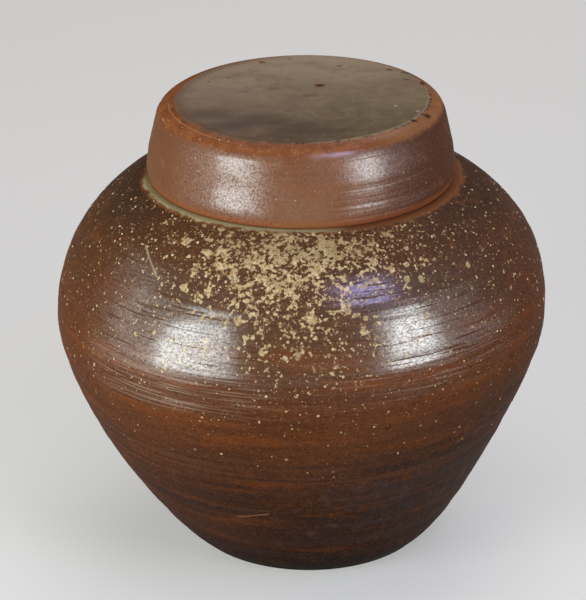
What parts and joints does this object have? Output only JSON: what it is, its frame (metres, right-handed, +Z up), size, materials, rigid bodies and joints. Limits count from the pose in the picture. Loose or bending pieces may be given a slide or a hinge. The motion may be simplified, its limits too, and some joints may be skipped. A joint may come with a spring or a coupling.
{
  "type": "tea storage jar",
  "caption": "Round-shouldered stoneware jar for keeping tea, with an inner lid hung in its mouth and a cap lid closing over the neck.",
  "frame": {"origin": "centre of the foot, on the surface the jar stands on", "axes": "+Z up along the axis of turning; -Y is the side with the ash, which the picture shows"},
  "size_m": [0.161, 0.161, 0.1517],
  "materials": {
    "body_clay": "unglazed wood-fired stoneware, brown-red with a soft sheen, straw-coloured ash flecks on the shoulder",
    "lid_clay": "the same clay, orange-red on the skirt with a soft sheen, dry grey-brown on the flat top",
    "inner_clay": "the same clay, matt and paler where the flame did not reach"
  },
  "bodies": {
    "jar": {"jar_body": "body_clay"},
    "outer_lid": {"outer_lid": "lid_clay"},
    "inner_lid": {"inner_lid": "inner_clay"}
  },
  "joints": [
    {"name": "outer_lid_lift", "type": "slide", "parent": "jar", "child": "outer_lid", "axis": [0, 0, 1], "range_m": [0, 0.18]},
    {"name": "inner_lid_lift", "type": "slide", "parent": "jar", "child": "inner_lid", "axis": [0, 0, 1], "range_m": [0, 0.09]}
  ],
  "couplings": [
    {"joint": "inner_lid_lift", "follows": "outer_lid_lift", "ratio": 0.5}
  ]
}
